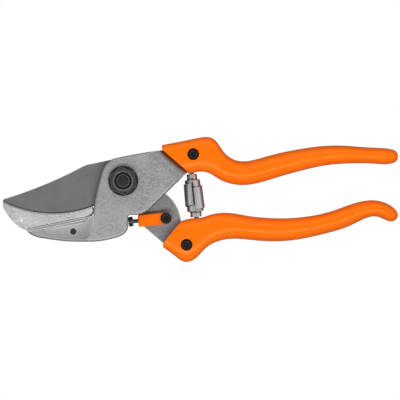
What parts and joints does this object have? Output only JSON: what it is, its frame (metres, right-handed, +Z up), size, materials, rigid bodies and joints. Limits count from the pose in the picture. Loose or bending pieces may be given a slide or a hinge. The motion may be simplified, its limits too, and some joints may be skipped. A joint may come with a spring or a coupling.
{
  "type": "pruning shears",
  "caption": "Hand pruning shears with a coated blade closing on an anvil, sleeved handles, a volute opening spring and a swinging latch.",
  "frame": {"origin": "centre of the flat end of the pivot bolt's head, on the pivot axis and on the surface that the shears lie on", "axes": "+X towards the ends of the handles, +Y across the tool from the lower handle to the upper one, +Z up, from the bolt head to the nut"},
  "size_m": [0.21, 0.0665, 0.025],
  "materials": {
    "cast_aluminium": "bead-blasted casting, satin",
    "anvil_aluminium": "machined, satin",
    "coated_steel": "dark grey low-friction coating, matt",
    "black_steel": "black oxide, satin",
    "zinc_steel": "zinc plated",
    "spring_steel": "rolled strip, satin",
    "bronze": "sintered",
    "dark_nylon": "moulded, matt",
    "orange_plastic": "moulded, semi-gloss"
  },
  "bodies": {
    "anvil_lever": {"anvil_arm": "cast_aluminium", "anvil": "anvil_aluminium", "anvil_pin": "black_steel", "upper_grip": "orange_plastic", "upper_grip_screw": "black_steel", "upper_spring_seat": "zinc_steel", "pivot_bolt": "black_steel", "pivot_washer": "black_steel", "pivot_nut": "black_steel", "pivot_nut_insert": "dark_nylon", "rear_thrust_washer": "dark_nylon", "front_thrust_washer": "dark_nylon", "volute_spring": "spring_steel"},
    "blade_lever": {"blade": "coated_steel", "blade_arm": "cast_aluminium", "blade_screws": "zinc_steel", "pivot_bush": "bronze", "lower_grip": "orange_plastic", "lower_grip_screw": "black_steel", "lower_spring_seat": "zinc_steel", "latch_screw": "black_steel", "latch_spring_washer": "spring_steel"},
    "latch": {"latch_lever": "orange_plastic", "latch_stop": "black_steel"}
  },
  "joints": [
    {"name": "blade_pivot", "type": "hinge", "parent": "anvil_lever", "child": "blade_lever", "pos_m": [0, 0, 0.0092], "axis": [0, 0, -1], "range_deg": [0, 27], "deforming": ["volute_spring"]},
    {"name": "latch_swing", "type": "hinge", "parent": "blade_lever", "child": "latch", "pos_m": [0.0226, -0.0198, 0.01], "axis": [0, 0, 1], "range_deg": [0, 55]}
  ]
}
